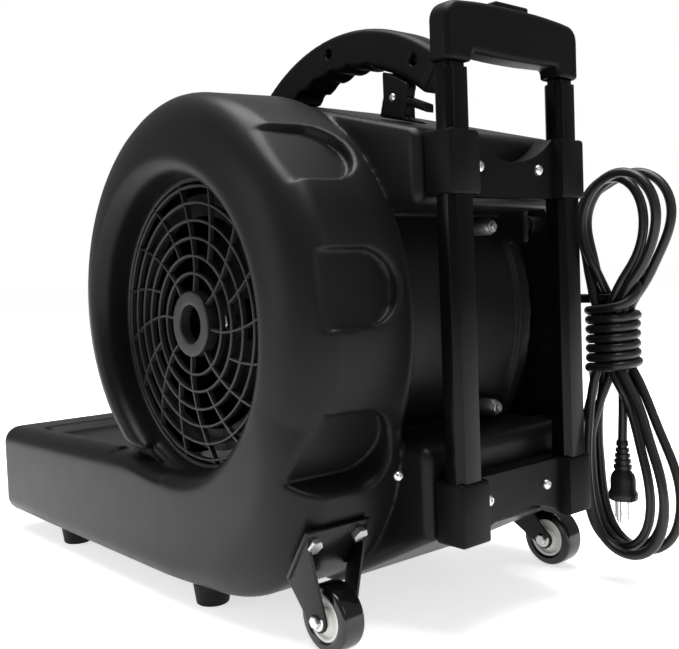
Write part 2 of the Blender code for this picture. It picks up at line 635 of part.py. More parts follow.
def build_far_bracket():
    """Fork bolted under the caster block of the motor half."""
    x, ay, az = FAR_AXLE
    bm = bmesh.new()
    add_box(bm, x - 27.0, x + 27.0, 98.0, 148.0, 56.6, 59.6)
    bracket = finish(bm, "caster_bracket_far", DARK, metallic=0.5, roughness=0.4)
    bm = bmesh.new()
    for low, high in ((x - 15.0, x - 12.6), (x + 12.6, x + 15.0)):
        outline = [(104.0, 58.0), (104.0, 55.0)] + arc(ay, az, 9.0, -120.0, 20.0, 6) + [(147.0, 58.0)]
        add_prism(bm, outline, 0, low, high)
    boolean(bracket, finish(bm, "cut_arms_far", DARK, cutter=True), "UNION")
    bm = bmesh.new()
    add_solid_lathe(bm, 0, (x, ay, az), [(4.3, -40.0), (4.3, 40.0)], 12)
    boolean(bracket, finish(bm, "cut_axle_far", DARK, cutter=True), "DIFFERENCE")
    for name, dx in (("caster_bolt_far_a", 22.5), ("caster_bolt_far_b", -22.5)):
        bm = bmesh.new()
        add_hex(bm, 2, (x + dx, 112.0, 0.0), 6.5, 51.2, 56.2)
        finish(bm, name, ZINC, metallic=1.0, roughness=0.3)


def build_feet():
    for name, x, y in (("foot_near_front", -34.0, -270.0), ("foot_near_rear", -34.0, 4.0),
                       ("foot_far_front", -240.0, -270.0), ("foot_far_rear", -240.0, 4.0)):
        solid_lathe(name, 2, (x, y, 0.0), [(13.5, 0.0), (14.5, 1.5), (17.0, 19.6)], 20, RUBBER,
                    roughness=0.8)


# ---------------------------------------------------------------- cord
CORD_R = 4.1


def tube_curve(name, points, radius, colour, roughness):
    """Round cord along a line of points, with closed ends."""
    curve = bpy.data.curves.new(name, "CURVE")
    curve.dimensions = "3D"
    curve.bevel_depth = radius * MM
    curve.bevel_resolution = 2
    curve.use_fill_caps = True
    spline = curve.splines.new("POLY")
    spline.points.add(len(points) - 1)
    for slot, point in zip(spline.points, points):
        slot.co = (*(Vector(point) * MM), 1.0)
    curve.materials.append(material(name, colour, 0.0, roughness))
    made = bpy.data.objects.new(name, curve)
    PARTS.objects.link(made)
    return made


def bezier(p0, p1, p2, p3, steps):
    points = []
    for i in range(steps + 1):
        t = i / steps
        s = 1.0 - t
        points.append(Vector(p0) * s ** 3 + Vector(p1) * 3 * s * s * t + Vector(p2) * 3 * s * t * t
                      + Vector(p3) * t ** 3)
    return points


def build_cord():
    lead = bezier((-319.0, 158.0, 204.4), (-319.0, 158.0, 260.0), (-319.0, 154.0, 300.0),
                  (-322.0, 187.2, 312.0), 7)
    tube_curve("cord_lead", lead, CORD_R, RUBBER, 0.5)
    outline = arc(240.0, 62.0, 41.0, 180.0, 360.0, 8) + [(281.0, 110.0), (254.0, 190.0), (254.0, 244.0)]
    outline += [(282.0, 300.0)] + arc(240.0, 327.0, 42.0, 0.0, 170.0, 7)
    outline += [(186.8, 300.0), (194.0, 250.0), (194.0, 190.0), (195.0, 110.0)]
    hank = prism("cord_hank", outline, 0, -336.0, -309.0, RUBBER, roughness=0.5)
    bevel(hank, 6.0, 2, 55.0)
    holes = [[(214.0, 190.0), (213.0, 68.0)] + arc(239.0, 66.0, 22.0, 190.0, 350.0, 5) + [(262.0, 110.0),
                                                                                         (238.0, 190.0)],
             [(212.0, 250.0), (238.0, 250.0), (262.0, 300.0)] + arc(239.0, 322.0, 22.0, 0.0, 180.0, 5)
             + [(207.0, 300.0)]]
    bm = bmesh.new()
    for hole in holes:
        add_prism(bm, hole, 0, -345.0, -300.0)
    boolean(hank, finish(bm, "cut_hank_holes", RUBBER, cutter=True), "DIFFERENCE")
    slot = box("cut_hank_slot", (-329.0, -315.0, 170.0, 232.0, 245.0, 259.0), RUBBER, cutter=True)
    boolean(hank, slot, "DIFFERENCE")
    tail = solid_lathe("cut_tail", 2, (-322.0, 230.0, 0.0), [(CORD_R, 122.0), (CORD_R, 198.0)], 8,
                       RUBBER, cutter=True)
    boolean(hank, tail, "UNION")
    plug = solid_lathe("plug", 2, (-322.0, 230.0, 0.0),
                       [(8.5, 74.0), (10.0, 76.0), (10.0, 98.0), (6.0, 112.0), (5.2, 121.6)], 16,
                       RUBBER, roughness=0.45)
    bm = bmesh.new()
    for dy in (-5.0, 5.0):
        add_solid_lathe(bm, 2, (-322.0, 230.0 + dy, 0.0), [(2.0, 57.0), (2.0, 75.0)], 10)
    boolean(plug, finish(bm, "cut_pins", RUBBER, cutter=True), "UNION")
    prism("cord_hook", [(-304.4, 150.0), (-304.4, 178.0), (-318.0, 178.0), (-318.0, 228.0),
                        (-326.0, 228.0), (-326.0, 170.0), (-308.0, 170.0), (-308.0, 150.0)], 2,
          248.0, 256.0, DARK, roughness=0.5)


build_inlet_half()
build_motor_half()
build_grille()
build_impeller()
build_motor()
build_motor_side()
build_controls()
build_carry_handle()
build_tubes()
build_brackets()
build_grip()
build_wheel("near", NEAR_AXLE)
build_wheel("far", FAR_AXLE)
build_near_bracket()
build_far_bracket()
build_feet()
build_cord()

for item in list(PARTS.objects) + list(CUTTERS.objects):
    item.location = item.location + Vector(SHIFT) * MM
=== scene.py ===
"""Looks of the centrifugal air mover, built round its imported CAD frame."""
import json
import math

import bmesh
import bpy
import numpy as np
from mathutils import Matrix, Vector

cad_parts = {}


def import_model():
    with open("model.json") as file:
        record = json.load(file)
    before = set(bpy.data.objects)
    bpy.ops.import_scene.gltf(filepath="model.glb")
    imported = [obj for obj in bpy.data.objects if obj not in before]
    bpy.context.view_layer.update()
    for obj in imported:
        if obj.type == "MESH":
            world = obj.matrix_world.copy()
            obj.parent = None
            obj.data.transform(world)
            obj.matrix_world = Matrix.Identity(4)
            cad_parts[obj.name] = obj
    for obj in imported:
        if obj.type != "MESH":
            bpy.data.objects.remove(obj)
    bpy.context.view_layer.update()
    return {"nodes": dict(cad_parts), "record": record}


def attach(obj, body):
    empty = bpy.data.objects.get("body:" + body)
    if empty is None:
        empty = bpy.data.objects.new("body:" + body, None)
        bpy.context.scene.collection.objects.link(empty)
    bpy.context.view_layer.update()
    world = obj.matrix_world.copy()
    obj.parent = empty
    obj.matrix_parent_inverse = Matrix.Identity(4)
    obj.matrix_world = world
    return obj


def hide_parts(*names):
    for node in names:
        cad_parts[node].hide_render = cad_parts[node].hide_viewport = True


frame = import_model()
NODES = frame["nodes"]

# Layout in mm, the same working origin as the CAD: inlet face at x = 0, floor at z = 0.
MM = 0.001
SHIFT = Vector((177.0, 78.8, 0.0))
AXIS_Z = 244.5
NOZZLE_Y = -395.0
FLOOR_GAP = 20.0
TUBE_X = (-120.0, -250.0)
TUBE_Y = 225.0
NEAR_AXLE = (-42.0, 160.0, 26.0)
FAR_AXLE = (-322.0, 152.0, 26.0)
CORNER_Y, CORNER_Z, CORNER_RADIUS = 45.0, 155.0, 135.0
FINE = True


def world(x, y, z):
    return (Vector((x, y, z)) + SHIFT) * MM


# ------------------------------------------------------------ camera, light, floor
STUDIO_LEVEL = 0.32
FLOOR_GLOW = 0.68
FLOOR_SIZE = 120.0
WHITE = (1.0, 1.0, 1.0, 1.0)
AREA_LIGHTS = (
    ("overhead", (0.1, 0.1, 2.3), (0.0, 0.0, 0.0), (1.8, 1.8), 100.0),
    ("side", (2.3, -0.9, 0.8), (0.1, -0.1, 0.2), (0.9, 1.4), 9.0),
    ("rear", (-0.6, 2.4, 1.3), (0.0, 0.1, 0.2), (1.0, 1.0), 5.0),
)
FOCAL_PX = 929.9
IMAGE_WIDTH = 679.0
CAMERA_AT = (391.4, 693.5, 283.4)
CAMERA_AZIMUTH, CAMERA_ELEVATION, CAMERA_ROLL = 139.8, 3.16, -2.21


def add_camera():
    a, e, r = (math.radians(v) for v in (CAMERA_AZIMUTH, CAMERA_ELEVATION, CAMERA_ROLL))
    back = Vector((math.sin(a) * math.cos(e), -math.cos(a) * math.cos(e), math.sin(e)))
    right = Vector((0.0, 0.0, 1.0)).cross(back).normalized()
    up = back.cross(right)
    turned = right * math.cos(r) + up * math.sin(r)
    up = up * math.cos(r) - right * math.sin(r)
    rotation = Matrix((turned, up, back)).transposed().to_4x4()
    data = bpy.data.cameras.new("camera")
    data.sensor_width = 36.0
    data.lens = FOCAL_PX * data.sensor_width / IMAGE_WIDTH
    data.clip_start, data.clip_end = 0.05, 50.0
    camera = bpy.data.objects.new("camera", data)
    camera.matrix_world = Matrix.Translation(world(*CAMERA_AT)) @ rotation
    bpy.context.scene.collection.objects.link(camera)
    bpy.context.scene.camera = camera


def add_area_light(name, place, target, size, power):
    data = bpy.data.lights.new(name, "AREA")
    data.shape = "RECTANGLE"
    data.size, data.size_y = size
    data.energy = power
    light = bpy.data.objects.new(name, data)
    light.location = place
    light.rotation_mode = "QUATERNION"
    light.rotation_quaternion = (Vector(target) - Vector(place)).to_track_quat("-Z", "Y")
    bpy.context.scene.collection.objects.link(light)


def add_world():
    """Dim white surroundings that look pure white behind the object."""
    sky = bpy.data.worlds.new("studio")
    sky.use_nodes = True
    tree = sky.node_tree
    room = tree.nodes["Background"]
    room.inputs["Color"].default_value = WHITE
    room.inputs["Strength"].default_value = STUDIO_LEVEL
    backdrop = tree.nodes.new("ShaderNodeBackground")
    backdrop.inputs["Color"].default_value = WHITE
    either = tree.nodes.new("ShaderNodeMixShader")
    seen = tree.nodes.new("ShaderNodeLightPath")
    tree.links.new(seen.outputs["Is Camera Ray"], either.inputs[0])
    tree.links.new(room.outputs[0], either.inputs[1])
    tree.links.new(backdrop.outputs[0], either.inputs[2])
    tree.links.new(either.outputs[0], tree.nodes["World Output"].inputs["Surface"])
    bpy.context.scene.world = sky


def add_floor():
    bpy.ops.mesh.primitive_plane_add(size=FLOOR_SIZE, location=(0.0, 0.0, -0.0005))
    floor = bpy.context.object
    floor.name = "floor"
    made = bpy.data.materials.new("floor_white")
    made.use_nodes = True
    shader = made.node_tree.nodes["Principled BSDF"]
    shader.inputs["Base Color"].default_value = (0.97, 0.97, 0.97, 1.0)
    shader.inputs["Roughness"].default_value = 0.9
    shader.inputs["Specular IOR Level"].default_value = 0.1
    shader.inputs["Emission Color"].default_value = WHITE
    shader.inputs["Emission Strength"].default_value = FLOOR_GLOW
    floor.data.materials.append(made)


def add_studio():
    settings = bpy.context.scene.view_settings
    settings.view_transform = "Standard"
    settings.look = "None"
    add_world()
    for light in AREA_LIGHTS:
        add_area_light(*light)
    add_floor()


# ------------------------------------------------------------ materials
def add_noise(tree, place, scale, detail):
    noise = tree.nodes.new("ShaderNodeTexNoise")
    noise.inputs["Scale"].default_value = scale
    noise.inputs["Detail"].default_value = detail
    tree.links.new(place.outputs["Object"], noise.inputs["Vector"])
    return noise.outputs["Fac"]


def plastic(name, dark, light, roughness, spread, grain, bump, metallic=0.0, scale=900.0, shine=0.5):
    """Moulded plastic, paint, rubber or metal: noise varies its colour, its gloss and its grain."""
    made = bpy.data.materials.new(name)
    made.use_nodes = True
    tree = made.node_tree
    shader = tree.nodes["Principled BSDF"]
    shader.inputs["Metallic"].default_value = metallic
    shader.inputs["Specular IOR Level"].default_value = shine
    place = tree.nodes.new("ShaderNodeTexCoord")
    ramp = tree.nodes.new("ShaderNodeValToRGB")
    ramp.color_ramp.elements[0].position = 0.3
    ramp.color_ramp.elements[1].position = 0.7
    ramp.color_ramp.elements[0].color = (*dark, 1.0)
    ramp.color_ramp.elements[1].color = (*light, 1.0)
    tree.links.new(add_noise(tree, place, 14.0, 4.0), ramp.inputs["Fac"])
    tree.links.new(ramp.outputs["Color"], shader.inputs["Base Color"])
    gloss = tree.nodes.new("ShaderNodeMapRange")
    gloss.inputs["To Min"].default_value = roughness - spread
    gloss.inputs["To Max"].default_value = roughness + spread
    tree.links.new(add_noise(tree, place, 45.0, 5.0), gloss.inputs["Value"])
    tree.links.new(gloss.outputs["Result"], shader.inputs["Roughness"])
    relief = tree.nodes.new("ShaderNodeBump")
    relief.inputs["Strength"].default_value = bump
    relief.inputs["Distance"].default_value = grain
    tree.links.new(add_noise(tree, place, scale, 2.0), relief.inputs["Height"])
    tree.links.new(relief.outputs["Normal"], shader.inputs["Normal"])
    return made


# Key: name, dark and light colour, roughness, spread of roughness, depth of grain in m, strength of grain.
FINISHES = {
    "housing": ("moulded_black", (0.004, 0.004, 0.0042), (0.006, 0.006, 0.0063), 0.37, 0.05, 0.0003, 0.1),
    "grille": ("grille_black", (0.010, 0.010, 0.0105), (0.015, 0.015, 0.0155), 0.42, 0.05, 0.0002, 0.1),
    "trim": ("trim_black", (0.002, 0.002, 0.0021), (0.0032, 0.0032, 0.0034), 0.42, 0.05, 0.0002, 0.25),
    "tube": ("tube_black", (0.001, 0.001, 0.0011), (0.0018, 0.0018, 0.0019), 0.2, 0.05, 0.0001, 0.08),
    "paint": ("bracket_paint", (0.003, 0.003, 0.0032), (0.005, 0.005, 0.0052), 0.28, 0.08, 0.0002, 0.2),
    "rubber": ("rubber_black", (0.004, 0.004, 0.004), (0.007, 0.007, 0.007), 0.6, 0.08, 0.0003, 0.3),
    "tyre": ("tyre_black", (0.003, 0.003, 0.003), (0.005, 0.005, 0.005), 0.14, 0.04, 0.0001, 0.05),
    "cord": ("cord_black", (0.006, 0.006, 0.006), (0.010, 0.010, 0.010), 0.34, 0.06, 0.0002, 0.15),
    "zinc": ("zinc_plate", (0.55, 0.55, 0.53), (0.68, 0.68, 0.66), 0.28, 0.1, 0.0002, 0.2),
    "steel": ("dull_steel", (0.30, 0.30, 0.31), (0.42, 0.42, 0.43), 0.45, 0.1, 0.0002, 0.2),
    "pale": ("pale_plastic", (0.62, 0.61, 0.58), (0.70, 0.69, 0.66), 0.4, 0.06, 0.0002, 0.1),
}
EXTRAS = {
    "housing": {"shine": 0.13}, "grille": {"shine": 0.3}, "trim": {"scale": 1600.0, "shine": 0.08},
    "tube": {"shine": 0.12}, "paint": {"shine": 0.2}, "rubber": {"shine": 0.15}, "tyre": {"shine": 0.45},
    "cord": {"shine": 0.3}, "zinc": {"metallic": 1.0}, "steel": {"metallic": 1.0},
}


def make_materials():
    return {key: plastic(*values, **EXTRAS.get(key, {})) for key, values in FINISHES.items()}


MATERIAL_OF_SLOT = {
    "housing_plastic": "housing", "dark_plastic": "trim", "pale_plastic": "pale",
    "black_painted_metal": "paint", "zinc_steel": "zinc", "cast_aluminium": "steel",
    "soft_rubber": "rubber", "tyre_rubber": "tyre",
}


# ------------------------------------------------------------ mesh helpers
def finish(name, mesh, material, body, nodes=(), smooth=35.0):
    made = bpy.data.objects.new(name, mesh)
    bpy.context.scene.collection.objects.link(made)
    mesh.materials.append(MATERIALS[material])
    if smooth is not None:
        mesh.polygons.foreach_set("use_smooth", np.ones(len(mesh.polygons), bool))
        mesh.set_sharp_from_angle(angle=math.radians(smooth))
    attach(made, body)
    if nodes:
        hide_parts(*nodes)
    return made


def to_mesh(bm, name):
    bmesh.ops.remove_doubles(bm, verts=bm.verts, dist=1e-4)
    bmesh.ops.recalc_face_normals(bm, faces=bm.faces)
    bm.transform(Matrix.Translation(SHIFT))
    bm.transform(Matrix.Scale(MM, 4))
    mesh = bpy.data.meshes.new(name)
    bm.to_mesh(mesh)
    bm.free()
    return mesh


def add_lathe(bm, axis, centre, profile, count, closed=False):
    """Revolve a (radius, height) line; closed joins its ends, otherwise discs cap them."""
    rows = []
    for radius, height in profile:
        row = []
        for i in range(count):
            angle = 2.0 * math.pi * i / count
            point = [radius * math.cos(angle), radius * math.sin(angle)]
            point.insert(axis, height)
            row.append(bm.verts.new([point[k] + centre[k] for k in range(3)]))
        rows.append(row)
    pairs = list(zip(rows, rows[1:]))
    if closed:
        pairs.append((rows[-1], rows[0]))
    for a, b in pairs:
        for i in range(count):
            j = (i + 1) % count
            bm.faces.new((a[i], a[j], b[j], b[i]))
    if not closed:
        bm.faces.new(rows[0])
        bm.faces.new(list(reversed(rows[-1])))


def rounded(profile, radius, steps=4):
    """Replace the corners of a (radius, height) line by small arcs."""
    points = [Vector(p) for p in profile]
    out = [points[0]]
    for before, here, after in zip(points, points[1:], points[2:]):
        a = (before - here)
        b = (after - here)
        cut = min(radius, 0.45 * a.length, 0.45 * b.length)
        start, end = here + a.normalized() * cut, here + b.normalized() * cut
        for i in range(steps + 1):
            t = i / steps
            out.append(start * (1 - t) ** 2 + here * 2 * t * (1 - t) + end * t * t)
    out.append(points[-1])
    return [tuple(p) for p in out]


def place_turned(bm, profile, place, normal, count):
    part = bmesh.new()
    add_lathe(part, 2, (0.0, 0.0, 0.0), profile, count)
    turn = Vector(normal).to_track_quat("Z", "Y").to_matrix().to_4x4()
    part.transform(Matrix.Translation(place) @ turn)
    mesh = bpy.data.meshes.new("part")
    part.to_mesh(mesh)
    part.free()
    bm.from_mesh(mesh)
    bpy.data.meshes.remove(mesh)


CORNERS = [(i, j, k) for i in (0, 1) for j in (0, 1) for k in (0, 1)]


def add_box(bm, low, high):
    corners = [bm.verts.new([(low, high)[bit][k] for k, bit in enumerate(c)]) for c in CORNERS]
    for face in ((0, 1, 3, 2), (4, 6, 7, 5), (0, 4, 5, 1), (2, 3, 7, 6), (0, 2, 6, 4), (1, 5, 7, 3)):
        bm.faces.new([corners[i] for i in face])


def bevel_mesh(bm, width, segments):
    """Round every edge that turns by more than 30 degrees."""
    bmesh.ops.dissolve_limit(bm, angle_limit=math.radians(1.0), verts=bm.verts, edges=bm.edges)
    sharp = [e for e in bm.edges if len(e.link_faces) == 2 and e.calc_face_angle(0.0) > math.radians(30.0)]
    bmesh.ops.bevel(bm, geom=sharp, offset=width, segments=segments, profile=0.5, affect="EDGES",
                    clamp_overlap=True)


# ------------------------------------------------------------ solid shapes by signed distance
def grid(low, high, step):
    axes = [np.arange(a, b + step, step, dtype=np.float32) for a, b in zip(low, high)]
    return np.meshgrid(*axes, indexing="ij", sparse=True)


def round_cut(a, b, radius):
    """Intersection of two shapes with a quarter-round edge."""
    u, v = np.maximum(a + radius, 0.0), np.maximum(b + radius, 0.0)
    return np.minimum(np.maximum(a, b), -radius) + np.sqrt(u * u + v * v)


def slab(value, low, high):
    return np.maximum(low - value, value - high)


def box_shape(x, y, z, low, high, radius):
    shape = round_cut(slab(x, low[0], high[0]), slab(y, low[1], high[1]), radius)
    return round_cut(shape, slab(z, low[2], high[2]), radius)


def surface(field, low, step, name):
    """Surface nets: a quad mesh on the zero level of a sampled field, in working mm."""
    field = np.ascontiguousarray(field)
    inside = field < 0.0
    count = np.zeros(tuple(s - 1 for s in field.shape), np.uint8)
    shape = count.shape
    for i, j, k in CORNERS:
        count += inside[i:i + shape[0], j:j + shape[1], k:k + shape[2]]
    cells = np.argwhere((count > 0) & (count < 8))
    index = np.full(shape, -1, np.int32)
    index[tuple(cells.T)] = np.arange(len(cells))
    values = {c: field[tuple((cells + c).T)].astype(np.float64) for c in CORNERS}
    total = np.zeros((len(cells), 3))
    hits = np.zeros(len(cells))
    for corner in CORNERS:
        for axis in range(3):
            if corner[axis]:
                continue
            other = tuple(c + (1 if n == axis else 0) for n, c in enumerate(corner))
            va, vb = values[corner], values[other]
            crossing = (va < 0.0) != (vb < 0.0)
            t = np.where(crossing, va / np.where(crossing, va - vb, 1.0), 0.0)
            point = np.tile(np.array(corner, float), (len(cells), 1))
            point[:, axis] += t
            total += point * crossing[:, None]
            hits += crossing
    verts = (cells + total / hits[:, None]) * step + np.array(low)
    quads = []
    for axis in range(3):
        ahead = [slice(None)] * 3
        here = [slice(None)] * 3
        ahead[axis], here[axis] = slice(1, None), slice(0, -1)
        for sign, pair in ((1, inside[tuple(here)] & ~inside[tuple(ahead)]),
                           (-1, ~inside[tuple(here)] & inside[tuple(ahead)])):
            at = np.argwhere(pair)
            b, c = [n for n in range(3) if n != axis]
            at = at[(at[:, b] > 0) & (at[:, c] > 0) & (at[:, b] < shape[b]) & (at[:, c] < shape[c])]
            ring = []
            for db, dc in ((0, 0), (-1, 0), (-1, -1), (0, -1)):
                cell = at.copy()
                cell[:, b] += db
                cell[:, c] += dc
                ring.append(index[tuple(cell.T)])
            flip = sign if axis != 1 else -sign
            quads.append(np.stack(ring if flip > 0 else ring[::-1], 1))
    quads = np.concatenate(quads)
    quads = quads[(quads >= 0).all(1)]
    mesh = bpy.data.meshes.new(name)
    mesh.from_pydata(((verts + np.array(SHIFT)) * MM).tolist(), [], quads.tolist())
    return mesh


def circle_field(u, v, centre, radius):
    return np.sqrt((u - centre[0]) ** 2 + (v - centre[1]) ** 2) - radius


# ------------------------------------------------------------ housing
POCKET_ANGLES = (43.0, 8.5, -27.5, 115.0, 151.0)
POCKET_WIDTH, POCKET_DEPTH, POCKET_ROUND_X = 57.0, 6.5, -60.0
SCROLL_RADIUS, SCROLL_LOSS = 195.0, 33.0
SHELL = 6.0
FAR_FACE = -272.0
FRONT_HALF_END = -112.0
DRUM_RADIUS, RIM_RADIUS, END_HOLE_RADIUS = 165.0, 167.5, 80.0
EYE_RADIUS = 126.0
DUCT_HEIGHT = 99.5
TOP_RISE, TOP_RISE_END = 6.0, -100.0
REAR_Y = 180.0
BLOCK_REAR_Y = 208.0


def volute_radius(angle):
    late = np.clip((angle - 90.0) / 135.0, 0.0, 1.0) ** 1.2
    return SCROLL_RADIUS - SCROLL_LOSS * late


def edge_round(profile, axial, deep, axial_deep):
    """Round the rim between a profile and an end plane by a quarter ellipse."""
    return round_cut(profile * (axial_deep / deep), axial, axial_deep)


def ease(value, low, high):
    t = np.clip((value - low) / (high - low), 0.0, 1.0)
    return t * t * (3.0 - 2.0 * t)


def rear_corner(y, z):
    across = np.maximum(y - CORNER_Y, 0.0)
    down = np.maximum(CORNER_Z - z, 0.0)
    turn = np.sqrt(across ** 2 + down ** 2) - CORNER_RADIUS
    return np.where((y > CORNER_Y) & (z < CORNER_Z), turn, np.maximum(y - REAR_Y, FLOOR_GAP - z))


def motor_half_field(x, y, z, volute, radius):
    """Waist drum between an upper and a lower block, with the rim for the end plate."""
    waist_low, waist_high = 150.0, 331.0
    upper = np.maximum((z - (428.0 - 0.27 * (y - 59.6))) / 1.036, waist_high - z)
    upper = round_cut(upper, y - BLOCK_REAR_Y, 10.0)
    upper = np.maximum(upper, 40.0 - y)
    lower = round_cut(z - waist_low, y - BLOCK_REAR_Y, 10.0)
    lower = np.maximum(lower, np.maximum((34.0 + 0.5 * (y - 118.0) - z) / 1.118, FLOOR_GAP - z))
    lower = np.maximum(lower, -40.0 - y)
    recess = np.maximum(slab(z, waist_low, waist_high), 90.0 - y)
    drum = round_cut(volute + 3.0, -recess, 8.0)
    body = np.minimum(np.minimum(drum, radius - DRUM_RADIUS), np.minimum(upper, lower))
    body = round_cut(body, slab(x, FAR_FACE, -100.0), 8.0)
    rim = round_cut(radius - RIM_RADIUS, slab(x, FAR_FACE - 8.0, FAR_FACE + 10.0), 2.0)
    ear = box_shape(x, y, z, (FAR_FACE, 120.0, 304.0), (FAR_FACE + 6.0, 174.0, 336.0), 2.0)
    caster = box_shape(x, y, z, (-350.0, 60.0, 60.0), (-262.0, 150.0, 94.0), 6.0)
    return np.minimum(np.minimum(body, rim), np.minimum(ear, caster))


def top_slope(y):
    """Rise of the duct's top from the mouth to the scroll."""
    return TOP_RISE * (np.clip(y, NOZZLE_Y, TOP_RISE_END) - NOZZLE_Y) / 260.0


def side_profile(y, z):
    """Outline of the duct and the foot of the scroll, seen along the fan axis."""
    half_rise = 0.5 * top_slope(y)
    duct = slab(z - half_rise, FLOOR_GAP - half_rise, FLOOR_GAP + DUCT_HEIGHT + half_rise)
    duct = round_cut(duct, slab(y, NOZZLE_Y, 60.0), 18.0)
    foot = np.maximum(rear_corner(y, z), np.maximum(-40.0 - y, z - AXIS_Z))
    return np.minimum(duct, foot)


def cut_panel(outer, x, y, z, volute):
    """Shallow sunk panel on top of the duct, ending short of the scroll."""
    panel = box_shape(x, y, z - top_slope(y), (-248.0, -330.0, 110.0), (-27.0, -60.0, 170.0), 10.0)
    panel = np.maximum(panel, 8.0 - np.minimum(volute, np.where(y > -60.0, -100.0, 900.0)))
    return round_cut(outer, -panel, 6.0)


def cut_pockets(outer, x, y, dz):
    """Round-ended wedge pockets across the scroll."""
    for pocket in POCKET_ANGLES:
        c, s = math.cos(math.radians(pocket)), math.sin(math.radians(pocket))
        height, across = y * c + dz * s, -y * s + dz * c
        end = np.sqrt((x - POCKET_ROUND_X) ** 2 + across ** 2)
        edge = np.where(x < POCKET_ROUND_X, end, np.abs(across)) - 0.5 * POCKET_WIDTH
        floor = float(volute_radius(np.float32(max(pocket, 0.0)))) - POCKET_DEPTH - height
        outer = round_cut(outer, -np.maximum(edge, floor), 2.5)
    return outer


def cut_ledge(outer, x, y, z, radius):
    """Hollow in the near wall's top edge where the duct meets the inlet ring."""
    shelf = 125.0 - 11.5 * ease(y, -112.0, -26.0) + 40.0 * ease(y, -26.0, 40.0)
    ledge = np.maximum(shelf - z, np.maximum(slab(x, -23.0, 40.0), slab(y, -116.0, 30.0)))
    ledge = np.maximum(ledge, z - 129.0 - 14.0 * ease(y, -90.0, 0.0))
    ledge = round_cut(ledge, EYE_RADIUS + 8.0 - radius, 8.0)
    return round_cut(outer, -ledge, 9.0)


def housing_field(x, y, z):
    """Both mouldings as one shell, open at the inlet eye, the duct's mouth and the motor's end."""
    dz = z - AXIS_Z
    radius = np.sqrt(y * y + dz * dz)
    angle = np.degrees(np.arctan2(dz, y))
    angle = np.where(angle < -100.0, angle + 360.0, angle)
    bulge = 3.0 * np.clip((-x - 25.0) / 70.0, 0.0, 1.0)
    volute = radius - volute_radius(angle)
    profile = side_profile(y, z)
    broad = ease(y, -40.0, 110.0)
    deep, axial = 19.0 + 33.0 * broad, 19.0 + 13.0 * broad
    wall = edge_round(profile, x, deep, axial)
    scroll = edge_round(volute - bulge, x, 54.0, 32.0)
    front = round_cut(np.minimum(scroll, wall), FRONT_HALF_END - x, 15.0)
    duct = np.maximum(round_cut(profile, FAR_FACE - x, 14.0), y - 50.0)
    duct = edge_round(duct, x, deep, axial)
    body = motor_half_field(x, y, z, volute, radius)
    outer = np.minimum(np.minimum(front, body), duct)
    outer = cut_panel(outer, x, y, z, volute)
    outer = cut_pockets(outer, x, y, dz)
    outer = cut_ledge(outer, x, y, z, radius)
    throat = np.maximum(np.abs(radius - EYE_RADIUS - 4.0) - 4.0, slab(x, -40.0, 0.0))
    inner = np.maximum(outer + SHELL, -throat)
    mouth = box_shape(x, y, z, (-262.0, -430.0, 28.0), (-10.0, -376.0, 111.0), 10.0)
    inner = np.minimum(inner, mouth)
    bore = np.where(x > -60.0, radius, 400.0)
    shell = round_cut(outer, EYE_RADIUS - bore, 17.0)
    shell = np.maximum(shell, -inner)
    return np.maximum(shell, -np.maximum(radius - END_HOLE_RADIUS, slab(x, -300.0, -255.0)))


def build_housing():
    step = 2.4 if FINE else 3.6
    low, high = (-356.0, -404.0, 12.0), (8.0, 218.0, 446.0)
    field = housing_field(*grid(low, high, step))
    mesh = surface(field, low, step, "housing_shell")
    finish("housing_shell", mesh, "housing", "frame", ("housing_inlet_half", "housing_motor_half"),
           smooth=60.0)


# ------------------------------------------------------------ cord
CORD_D = 8.2
PITCH = 8.4
HANK = Vector((-322.0, 222.0, 0.0))
CORD_EXIT = (-319.0, 158.0, 204.4)
WRAPS = 6
UP_SLOTS = ((-1.0, -1.5), (-1.0, -0.5), (1.0, -1.5))
DOWN_SLOTS = ((-1.0, 1.5), (-1.0, 0.5), (1.0, 1.5), (1.0, 0.5))
LOOP_OFFSETS = (-13.0, -4.4, 13.0, 4.4)
LOOP_SIZES = (1.0, 0.9, 0.95, 0.84)
LOOP_LEANS = (0.0, -7.0, 2.0, -12.0)


def loop_point(turn, across, height, centre_z):
    """A point of one turn outside the waist, sized and leant by its turn."""
    size, lean = LOOP_SIZES[turn], LOOP_LEANS[turn]
    share = min(1.0, abs(height - 220.0) / 110.0)
    y = 240.0 + (across - 240.0) * size + lean * share
    z = centre_z + (height - centre_z) * (0.5 + 0.5 * size)
    return (HANK.x + LOOP_OFFSETS[turn] * share, y, z)


def slot_point(slot, z):
    return (HANK.x + slot[0] * PITCH, HANK.y + slot[1] * PITCH, z)


def top_loop(turn, with_left=True):
    left = ((203.0, 284.0), (197.0, 322.0), (211.0, 350.0)) if with_left else ((216.0, 355.0),)
    right = ((240.0, 363.0), (265.0, 352.0), (276.0, 326.0), (268.0, 296.0), (252.0, 270.0))
    return [loop_point(turn, y, z, 320.0) for y, z in left + right]


def bottom_loop(turn):
    path = ((250.0, 164.0), (263.0, 130.0), (276.0, 96.0), (277.0, 62.0), (265.0, 36.0), (240.0, 26.0),
            (214.0, 37.0), (202.0, 66.0), (198.0, 108.0), (199.0, 150.0))
    return [loop_point(turn, y, z, 70.0) for y, z in path]


